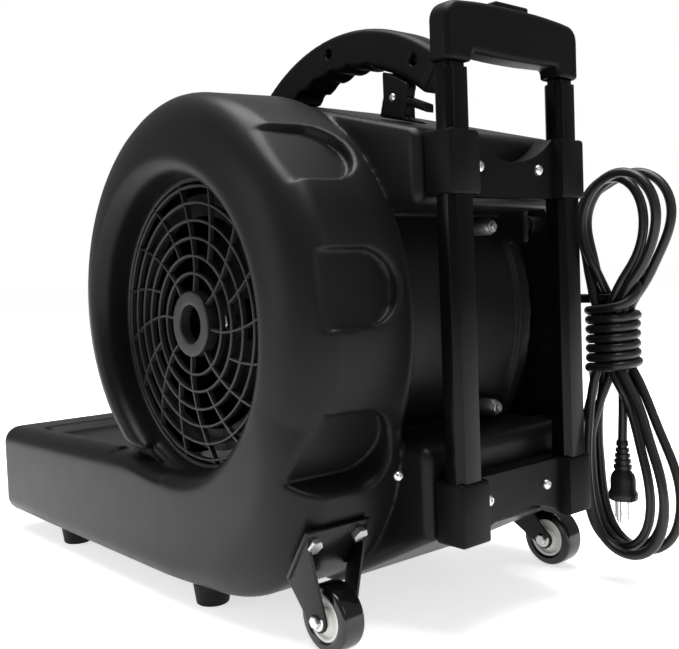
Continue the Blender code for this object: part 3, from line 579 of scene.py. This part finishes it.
def cord_points():
    """Lead, four turns of the hank, the wraps round its waist and the tail."""
    x, y, z = CORD_EXIT
    points = [(x, y, z - 6.0), (x, y, z + 22.0), (x, y, z + 50.0), (x - 1.0, y + 3.0, z + 80.0),
              (x - 6.0, y + 14.0, z + 112.0), (x - 12.0, y + 33.0, z + 136.0)]
    for turn in range(4):
        points += top_loop(turn, with_left=turn > 0)
        points += [slot_point(DOWN_SLOTS[turn], height) for height in (246.0, 220.0, 194.0)]
        points += bottom_loop(turn)
        if turn < 3:
            points += [slot_point(UP_SLOTS[turn], height) for height in (194.0, 220.0, 246.0)]
    around = (PITCH * 1.98, PITCH * 2.48)
    steps = 16
    first_z, last_z = 190.0, 243.4
    total = int(steps * (WRAPS + 0.35))
    points.append((HANK.x - 9.0, HANK.y - around[1] - 1.0, 172.0))
    for i in range(total + 1):
        angle = 2.0 * math.pi * i / steps - 1.75
        c, s = math.cos(angle), math.sin(angle)
        flat = (abs(c) ** 2.5 + abs(s) ** 2.5) ** (-1.0 / 2.5)
        height = first_z + (last_z - first_z) * i / total
        points.append((HANK.x + around[0] * c * flat, HANK.y + around[1] * s * flat, height))
    tuck = ((9.0, 27.0, 249.0), (3.0, 31.0, 263.0), (0.0, 23.0, 273.0), (0.0, 14.0, 262.0),
            (0.0, 12.6, 246.0), (0.0, 12.6, 220.0), (0.0, 12.6, 192.0), (0.0, 10.0, 160.0), (0.0, 8.0, 121.0))
    points += [(HANK.x + dx, HANK.y + dy, height) for dx, dy, height in tuck]
    return np.array(points)


def smooth_line(points, spacing):
    """Centripetal Catmull-Rom curve through the points, resampled evenly."""
    ends = np.vstack([2 * points[0] - points[1], points, 2 * points[-1] - points[-2]])
    dense = []
    for p0, p1, p2, p3 in zip(ends, ends[1:], ends[2:], ends[3:]):
        t0 = 0.0
        t1 = t0 + np.linalg.norm(p1 - p0) ** 0.5
        t2 = t1 + np.linalg.norm(p2 - p1) ** 0.5
        t3 = t2 + np.linalg.norm(p3 - p2) ** 0.5
        for t in np.linspace(t1, t2, 14, endpoint=False):
            a1 = (t1 - t) / (t1 - t0) * p0 + (t - t0) / (t1 - t0) * p1
            a2 = (t2 - t) / (t2 - t1) * p1 + (t - t1) / (t2 - t1) * p2
            a3 = (t3 - t) / (t3 - t2) * p2 + (t - t2) / (t3 - t2) * p3
            b1 = (t2 - t) / (t2 - t0) * a1 + (t - t0) / (t2 - t0) * a2
            b2 = (t3 - t) / (t3 - t1) * a2 + (t - t1) / (t3 - t1) * a3
            dense.append((t2 - t) / (t2 - t1) * b1 + (t - t1) / (t2 - t1) * b2)
    dense.append(points[-1])
    dense = np.array(dense)
    for _ in range(6):
        dense[1:-1] = 0.25 * dense[:-2] + 0.5 * dense[1:-1] + 0.25 * dense[2:]
    gone = np.concatenate([[0.0], np.cumsum(np.linalg.norm(np.diff(dense, axis=0), axis=1))])
    count = int(gone[-1] / spacing)
    at = np.linspace(0.0, gone[-1], count)
    return np.stack([np.interp(at, gone, dense[:, k]) for k in range(3)], 1)


def push_apart(line, distance, rounds):
    """Move points of one line apart where two passes are nearer than a diameter."""
    line = line.copy()
    count = len(line)
    apart = np.abs(np.arange(count)[:, None] - np.arange(count)[None, :]) > 7
    for _ in range(rounds):
        gap = line[:, None, :] - line[None, :, :]
        far = np.sqrt((gap ** 2).sum(2)) + 1e-6
        near = (far < distance) & apart
        push = (gap / far[..., None]) * ((distance - far) * near)[..., None] * 0.22
        move = push.sum(1)
        size = np.linalg.norm(move, axis=1, keepdims=True)
        move *= np.minimum(1.0, 1.2 / np.maximum(size, 1e-6))
        move[:6] = 0.0
        move[-6:] = 0.0
        line += move
        line[1:-1] += 0.12 * (0.5 * line[:-2] + 0.5 * line[2:] - line[1:-1])
    return line


def build_cord():
    line = smooth_line(cord_points(), 4.0 if FINE else 5.0)
    line = push_apart(line, CORD_D + 0.1, 60)
    curve = bpy.data.curves.new("power_cord", "CURVE")
    curve.dimensions = "3D"
    curve.bevel_depth = 0.5 * CORD_D * MM
    curve.bevel_resolution = 3
    curve.use_fill_caps = True
    spline = curve.splines.new("POLY")
    spline.points.add(len(line) - 1)
    for point, place in zip(spline.points, line):
        point.co = (*world(*place), 1.0)
    spline.use_smooth = True
    curve.materials.append(MATERIALS["cord"])
    made = bpy.data.objects.new("power_cord", curve)
    bpy.context.scene.collection.objects.link(made)
    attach(made, "frame")
    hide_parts("cord_lead", "cord_hank")
    plug = build_plug(line[-1])


def build_plug(end):
    """Moulded plug hanging from the cord: ribbed neck, oval body, two blades and an earth pin."""
    x, y, z = end
    bm = bmesh.new()
    neck = [(4.4, z + 6.0), (5.2, z + 5.0)]
    for k in range(5):
        wide = 5.6 + 0.7 * k
        height = z + 2.0 - 5.0 * k
        neck += [(wide, height + 1.4), (wide, height - 1.4)]
        neck += [(wide - 1.1, height - 1.6), (wide - 1.1, height - 3.0)]
    body = [(10.4, z - 25.0), (11.6, z - 29.0), (11.6, z - 38.0)]
    body += [(13.4, z - 41.5), (13.4, z - 46.0), (12.2, z - 47.6)]
    add_lathe(bm, 2, (0.0, 0.0, 0.0), neck + body, 28)
    bmesh.ops.scale(bm, vec=(0.82, 1.0, 1.0), verts=bm.verts)
    bmesh.ops.translate(bm, vec=(x, y, 0.0), verts=bm.verts)
    plug = finish("plug_body", to_mesh(bm, "plug_body"), "cord", "frame", ("plug",),
                  smooth=40.0)
    bm = bmesh.new()
    for dy in (-6.3, 6.3):
        add_box(bm, (x - 3.2, y + dy - 0.8, z - 64.0), (x + 3.2, y + dy + 0.8, z - 46.0))
    add_lathe(bm, 2, (x + 7.0, y, 0.0), [(1.0, z - 66.5), (2.4, z - 64.0), (2.4, z - 46.0)], 14)
    bevel_mesh(bm, 0.4, 2)
    finish("plug_pins", to_mesh(bm, "plug_pins"), "zinc", "frame", ())
    return plug


def build_strain_relief():
    x, y, z = CORD_EXIT
    profile = [(10.5, z - 25.0), (10.5, z - 19.0), (8.6, z - 18.0)]
    for k in range(5):
        wide = 8.4 - 0.65 * k
        height = z - 14.5 + 4.6 * k
        profile += [(wide, height - 1.3), (wide, height + 1.3)]
        profile += [(wide - 1.2, height + 1.5), (wide - 1.2, height + 3.2)]
    profile += [(5.0, z + 10.0), (4.3, z + 10.6)]
    bm = bmesh.new()
    add_lathe(bm, 2, (x, y, 0.0), profile, 28)
    finish("cord_boot", to_mesh(bm, "cord_boot"), "rubber", "frame", ("strain_relief",),
           smooth=40.0)


# ------------------------------------------------------------ grille
RING_RADII = (43.9, 58.8, 74.2, 89.1, 104.2, 118.4)
RIBS = 16
HUB_HOLE, HUB_RADIUS, GRILLE_RADIUS = 16.5, 28.5, 125.5
DOME = 4.7
GRILLE_FRONT = -28.3


def grille_x(radius):
    """Front of the domed grille: highest at the hub, falling to the frame."""
    t = min(1.0, max(0.0, (radius - HUB_HOLE) / (GRILLE_RADIUS - HUB_HOLE)))
    return GRILLE_FRONT - DOME * t * t


def swirl(radius):
    """Degrees by which a rib leans at a radius."""
    t = min(1.0, max(0.0, (radius - 44.0) / 74.4))
    return 8.5 - 17.5 * t


def add_rib(bm, line, width, depth):
    """Rounded bar along points, its broad side facing +X."""
    section = [(-0.5, -1.0), (-0.5, -0.25), (-0.3, 0.0), (0.3, 0.0), (0.5, -0.25), (0.5, -1.0)]
    rows = []
    for i, point in enumerate(line):
        before, after = line[max(i - 1, 0)], line[min(i + 1, len(line) - 1)]
        across = Vector((0.0, after[2] - before[2], before[1] - after[1])).normalized()
        rows.append([bm.verts.new(Vector(point) + across * (u * width) + Vector((v * depth, 0.0, 0.0)))
                     for u, v in section])
    for a, b in zip(rows, rows[1:]):
        for i in range(6):
            j = (i + 1) % 6
            bm.faces.new((a[i], a[j], b[j], b[i]))
    bm.faces.new(rows[0])
    bm.faces.new(list(reversed(rows[-1])))


def build_grille():
    bm = bmesh.new()
    hub = rounded([(HUB_HOLE, -8.0), (HUB_HOLE, 2.4), (HUB_RADIUS, 2.4), (HUB_RADIUS, -8.0)], 1.8)
    hub = [(r, h + GRILLE_FRONT) for r, h in hub]
    add_lathe(bm, 0, (0.0, 0.0, AXIS_Z), hub, 64, closed=True)
    for ring in RING_RADII:
        front = grille_x(ring)
        profile = [(ring - 1.3, front - 4.6), (ring - 1.3, front - 0.8), (ring - 0.6, front)]
        profile += [(ring + 0.6, front), (ring + 1.3, front - 0.8), (ring + 1.3, front - 4.6)]
        add_lathe(bm, 0, (0.0, 0.0, AXIS_Z), profile, 96, closed=True)
    edge = grille_x(GRILLE_RADIUS)
    rim = [(122.2, edge - 7.0), (122.2, edge - 0.5), (123.0, edge + 0.6)]
    rim += [(125.4, edge + 0.6), (125.4, edge - 7.0)]
    add_lathe(bm, 0, (0.0, 0.0, AXIS_Z), rim, 128, closed=True)
    for k in range(RIBS):
        inner = HUB_RADIUS - 1.0 if k % 2 == 0 else RING_RADII[1]
        line = []
        for i in range(15):
            ring = inner + (123.0 - inner) * i / 14.0
            angle = math.radians(360.0 / RIBS * k + swirl(ring))
            line.append((grille_x(ring) - 0.2, ring * math.sin(angle), AXIS_Z + ring * math.cos(angle)))
        add_rib(bm, line, 2.5, 4.4)
    finish("grille_ribs", to_mesh(bm, "grille_ribs"), "grille", "frame", ("inlet_grille",))


# ------------------------------------------------------------ fittings
SCREW_TOP_Z, SCREW_BOTTOM_Z = 359.0, 106.0
SCREW_X = {"near": -144.0, "far": -215.0}
SCREW_Y = 228.6
WAIST_BOLTS = ((-222.0, 318.0), (-222.0, 163.0))


def add_screw(bm, place, normal, size):
    """Pan-head screw with a small cup for its recess."""
    profile = [(size, -1.5), (size, 0.25 * size), (0.85 * size, 0.5 * size), (0.5 * size, 0.66 * size)]
    profile += [(0.34 * size, 0.66 * size), (0.2 * size, 0.3 * size)]
    place_turned(bm, profile, place, normal, 20)


def add_bolt(bm, place, normal, size):
    """Hexagon head on a washer, with a rounded crown."""
    place_turned(bm, [(1.45 * size, -0.5), (1.45 * size, 0.9), (1.3 * size, 1.2)], place, normal, 24)
    head = [(size, 0.8), (size, 0.8 + 0.55 * size), (0.82 * size, 0.8 + 0.72 * size)]
    place_turned(bm, head, place, normal, 6)


def build_screws():
    """Screws of the trolley, the lower block and the carry handle, and two long bolts at the waist."""
    for level, z in (("top", SCREW_TOP_Z), ("bottom", SCREW_BOTTOM_Z)):
        for side in ("near", "far"):
            node = "trolley_screw_" + level + "_" + side
            bm = bmesh.new()
            add_screw(bm, (SCREW_X[side], SCREW_Y, z), (0.0, 1.0, 0.0), 4.4)
            finish(node + "_head", to_mesh(bm, node), "zinc", "frame", (node,))
    bm = bmesh.new()
    add_screw(bm, (-72.0, 205.5, 134.0), (0.0, 1.0, 0.1), 3.6)
    add_screw(bm, (-130.4, 153.0, 421.0), (1.0, 0.0, 0.0), 3.6)
    finish("housing_screws", to_mesh(bm, "housing_screws"), "zinc", "frame", ())
    bm = bmesh.new()
    for x, z in WAIST_BOLTS:
        place_turned(bm, [(7.0, -14.0), (7.0, 0.0), (5.0, 3.0)], (x, 170.0, z), (0.0, 1.0, 0.0), 20)
        add_bolt(bm, (x, 173.0, z), (0.0, 1.0, 0.0), 3.6)
    finish("waist_bolts", to_mesh(bm, "waist_bolts"), "steel", "frame", ())


# ------------------------------------------------------------ casters
TYRE_BORE, TYRE_RADIUS = 17.6, 25.8
ARM_AT_HUB, ARM_SPREAD, ARM_END, ARM_SHEET = 12.5, 16.3, 9.5, 2.4
PLATE_SHEET, PLATE_HALF = 3.0, 31.0
NEAR_TILT = -33.0
FAR_BASE = (123.0, 59.6)


def build_wheel(side, axle):
    """Glossy tyre with a crowned tread on a pale stepped core, and its hexagon axle bolt."""
    body = side + "_wheel"
    half = [(TYRE_BORE, 10.0), (TYRE_BORE + 2.0, 11.0), (TYRE_RADIUS, 10.0)]
    tyre = [(r, -h) for r, h in half] + half[::-1]
    bm = bmesh.new()
    add_lathe(bm, 0, axle, rounded(tyre, 7.0, 6), 64, closed=True)
    finish("tyre_round_" + side, to_mesh(bm, "tyre"), "tyre", body, ("tyre_" + side,))
    half = [(4.4, 11.5), (7.5, 11.5), (8.6, 10.6), (9.4, 7.0), (14.2, 7.0), (15.0, 9.6), (17.4, 9.6)]
    core = [(r, -h) for r, h in half] + half[::-1]
    bm = bmesh.new()
    add_lathe(bm, 0, axle, rounded(core, 0.6, 2), 48, closed=True)
    finish("wheel_hub_" + side, to_mesh(bm, "core"), "pale", body, ("wheel_core_" + side,))
    bm = bmesh.new()
    place_turned(bm, [(3.9, -19.0), (3.9, 16.0)], axle, (1.0, 0.0, 0.0), 20)
    for hand, size in ((1.0, 5.2), (-1.0, 4.4)):
        add_bolt(bm, Vector(axle) + Vector((15.2 * hand, 0.0, 0.0)), (hand, 0.0, 0.0), size)
    finish("axle_hex_" + side, to_mesh(bm, "axle"), "zinc", "frame", ("axle_bolt_" + side,))


def build_fork(side, axle, base, degrees, low, high):
    """Bolted plate with two arms that lean in from its edges to the axle."""
    out = Vector((math.cos(math.radians(degrees)), math.sin(math.radians(degrees))))
    along = Vector((-out.y, out.x))
    hub = Vector((axle[1], axle[2])) - Vector(base)
    hub_out, hub_up = hub.dot(out), hub.dot(along)
    aim = math.degrees(math.atan2(hub_up, hub_out))
    bm = bmesh.new()

    def corner(x, away, up):
        spot = Vector(base) + out * away + along * up
        return bm.verts.new((axle[0] + x, spot.x, spot.y))

    def close(first, second):
        bm.faces.new(first)
        bm.faces.new(second)
        for k in range(len(first)):
            after = (k + 1) % len(first)
            bm.faces.new((first[k], first[after], second[after], second[k]))

    def spread(away):
        return ARM_AT_HUB + ARM_SPREAD * min(max(1.0 - away / (hub_out - 2.0), 0.0), 1.0)

    arm = [(0.5, low), (0.5, high)]
    for step in range(9):
        turn = math.radians(aim + 100.0 - 25.0 * step)
        arm.append((hub_out + ARM_END * math.cos(turn), hub_up + ARM_END * math.sin(turn)))
    for hand in (-1.0, 1.0):
        inside = [corner(hand * spread(away), away, up) for away, up in arm]
        outside = [corner(hand * (spread(away) + ARM_SHEET), away, up) for away, up in arm]
        close(inside, outside)
    outline = ((0.0, low), (PLATE_SHEET, low), (PLATE_SHEET, high), (0.0, high))
    near_end = [corner(-PLATE_HALF, away, up) for away, up in outline]
    far_end = [corner(PLATE_HALF, away, up) for away, up in outline]
    close(near_end, far_end)
    bmesh.ops.recalc_face_normals(bm, faces=bm.faces)
    sharp = [e for e in bm.edges if e.calc_face_angle(0.0) > math.radians(40.0)]
    bmesh.ops.bevel(bm, geom=sharp, offset=0.7, segments=2, profile=0.5, affect="EDGES", clamp_overlap=True)
    name = "fork_" + side
    finish(name, to_mesh(bm, name), "paint", "frame", ("caster_bracket_" + side,), smooth=35.0)


def build_casters():
    tilt = math.radians(NEAR_TILT)
    reach = CORNER_RADIUS + 0.4
    corner_base = (CORNER_Y + reach * math.cos(tilt), CORNER_Z + reach * math.sin(tilt))
    build_wheel("near", NEAR_AXLE)
    build_wheel("far", FAR_AXLE)
    build_fork("near", NEAR_AXLE, corner_base, NEAR_TILT, -26.0, 20.0)
    build_fork("far", FAR_AXLE, FAR_BASE, -90.0, -25.0, 25.0)


# ------------------------------------------------------------ CAD pieces with their edges rounded
SOFTENED = (
    ("end_plate", "paint", 0.8), ("control_box", "trim", 1.2), ("speed_knob", "trim", 0.8),
    ("cord_box", "trim", 1.0), ("cord_hook", "paint", 1.0), ("trolley_bracket_top", "trim", 0.8),
    ("trolley_bracket_bottom", "trim", 0.8), ("motor_cover", "trim", 0.8),
    ("foot_near_front", "rubber", 1.2), ("foot_near_rear", "rubber", 1.2),
    ("foot_far_front", "rubber", 1.2), ("foot_far_rear", "rubber", 1.2),
)


def soften(node, name, material, body, width):
    """Give a CAD piece rounded edges, keeping its size and place."""
    bm = bmesh.new()
    bm.from_mesh(NODES[node].data)
    bmesh.ops.remove_doubles(bm, verts=bm.verts, dist=1e-6)
    bevel_mesh(bm, width * MM, 2)
    mesh = bpy.data.meshes.new(name)
    bm.to_mesh(mesh)
    bm.free()
    mesh.materials.clear()
    finish(name, mesh, material, body, (node,), smooth=30.0)


def build_softened():
    for node, material, width in SOFTENED:
        soften(node, node + "_soft", material, "frame", width)
    for stage, body in (("outer", "frame"), ("middle", "trolley_middle"), ("inner", "trolley_grip")):
        for side in ("near", "far"):
            soften(stage + "_tube_" + side, stage + "_sleeve_" + side, "tube", body, 1.0)
    soften("grip_button", "push_button", "trim", "button", 1.0)


# ------------------------------------------------------------ grip and carry handle
GRIP_OVERHANG, GRIP_LEG = 13.0, 26.0
GRIP_HALF_DEPTH = 11.0
HANDLE_Y, HANDLE_Z = 92.0, 306.0
HANDLE_MID = -145.0
HANDLE_OUTER, HANDLE_INNER, GROOVE_PATH = 179.3, 147.0, 142.5
HANDLE_HOLES = ((76.0, 471.0), (177.0, 446.0))


def build_grip():
    """Bar handle: two round-shouldered legs joined by a bowed bar, hollow where the tubes enter."""
    step = 1.6 if FINE else 2.6
    low, high = (-272.0, 206.0, 426.0), (-98.0, 244.0, 492.0)
    x, y, z = grid(low, high, step)
    left, right = TUBE_X[1] - GRIP_OVERHANG, TUBE_X[0] + GRIP_OVERHANG
    across = np.clip((x - left) / (right - left), 0.0, 1.0)
    crown = 474.0 + 6.5 * np.sqrt(np.maximum(np.sin(math.pi * across), 0.0))
    side = round_cut(slab(x, left, right), z - crown, 11.0)
    outer = round_cut(side, slab(y, TUBE_Y - GRIP_HALF_DEPTH, TUBE_Y + GRIP_HALF_DEPTH), 6.0)
    belly = 443.0 - 3.0 * np.sin(math.pi * across)
    gap = round_cut(slab(x, left + GRIP_LEG, right - GRIP_LEG), z - belly, 4.0)
    body = round_cut(outer, -gap, 4.0)
    body = round_cut(body, 434.0 - z, 1.5)
    for cx in TUBE_X:
        socket = np.maximum(slab(x, cx - 10.4, cx + 10.4), slab(y, TUBE_Y - 7.4, TUBE_Y + 7.4))
        body = np.maximum(body, -np.maximum(socket, z - 455.0))
    well = box_shape(x, y, z, (-205.0, TUBE_Y - 7.0, 464.5), (-165.0, TUBE_Y + 7.0, 500.0), 1.0)
    body = np.maximum(body, -well)
    mesh = surface(body, low, step, "grip_bar")
    finish("grip_bar", mesh, "trim", "trolley_grip", ("grip",), smooth=55.0)


def build_carry_handle():
    """Arched handle with finger grooves and sunk screw holes, its front foot on the scroll."""
    step = 1.8 if FINE else 2.8
    low, high = (-168.0, -48.0, 398.0), (-122.0, 216.0, 492.0)
    x, y, z = grid(low, high, step)
    away = circle_field(y, z, (HANDLE_Y, HANDLE_Z), 0.0)
    angle = np.degrees(np.arctan2(z - HANDLE_Z, y - HANDLE_Y))
    inner = HANDLE_INNER - 6.0 * ease(angle, 104.0, 122.0)
    ring = np.maximum(away - HANDLE_OUTER, inner - away)
    end = np.maximum((angle - 135.5) * 2.8, (50.5 - angle) * 2.8)
    top = AXIS_Z + np.sqrt(np.maximum(193.0 ** 2 - y * y, 0.0)) + 0.5
    arch = np.maximum(ring, np.maximum(end, np.where(y < 60.0, top - z, -100.0)))
    body = round_cut(arch, np.abs(x - HANDLE_MID) - 16.0, 6.0)
    for k in range(5):
        turn = math.radians(112.5 - 8.6 * k)
        groove = (HANDLE_Y + GROOVE_PATH * math.cos(turn), HANDLE_Z + GROOVE_PATH * math.sin(turn))
        body = round_cut(body, -circle_field(y, z, groove, 8.2), 1.5)
    for hole in HANDLE_HOLES:
        body = round_cut(body, -np.maximum(circle_field(y, z, hole, 4.2), -136.0 - x), 0.8)
    mesh = surface(body, low, step, "carry_arch")
    finish("carry_arch", mesh, "trim", "frame", ("carry_handle",), smooth=55.0)


def build_handle_bracket():
    """Leg under the handle and two slanted bars behind it that leave open slots."""
    step = 1.5 if FINE else 2.4
    low, high = (-168.0, 132.0, 388.0), (-122.0, 196.0, 448.0)
    x, y, z = grid(low, high, step)
    fall = z + 0.42 * (y - 150.0)
    leg = np.abs(y - 155.0 - 0.3 * (z - 420.0)) - 14.5
    bars = np.minimum(np.abs(fall - 424.0), np.abs(fall - 407.5)) - 3.4
    bars = np.maximum(bars, slab(y, 150.0, 189.5))
    under = circle_field(y, z, (HANDLE_Y, HANDLE_Z), 146.2)
    seat = 408.2 - 0.27 * (y - 138.0) - z
    plate = np.maximum(np.minimum(leg, bars), np.abs(x + 134.0) - 4.5)
    core = np.maximum(np.abs(y - 145.0) - 5.0, np.abs(x + 145.0) - 14.0)
    body = round_cut(np.minimum(plate, core), np.maximum(under, seat), 1.0)
    mesh = surface(body, low, step, "handle_leg")
    finish("handle_leg", mesh, "trim", "frame", ("handle_bracket_rear",), smooth=45.0)


# ------------------------------------------------------------ the whole
MATERIALS = make_materials()
add_camera()
add_studio()
build_cord()
build_strain_relief()
build_housing()
build_grille()
build_screws()
build_casters()
build_softened()
build_grip()
build_carry_handle()
build_handle_bracket()

# CAD pieces that are shown as they are get the look of their slot; the posts look painted.
for part in frame["record"]["subparts"]:
    painted = part["node"].startswith("standoff")
    made = MATERIALS["paint" if painted else MATERIAL_OF_SLOT[part["material_slot"]]]
    piece = NODES[part["node"]]
    if piece.material_slots:
        piece.material_slots[0].material = made
    else:
        piece.data.materials.append(made)
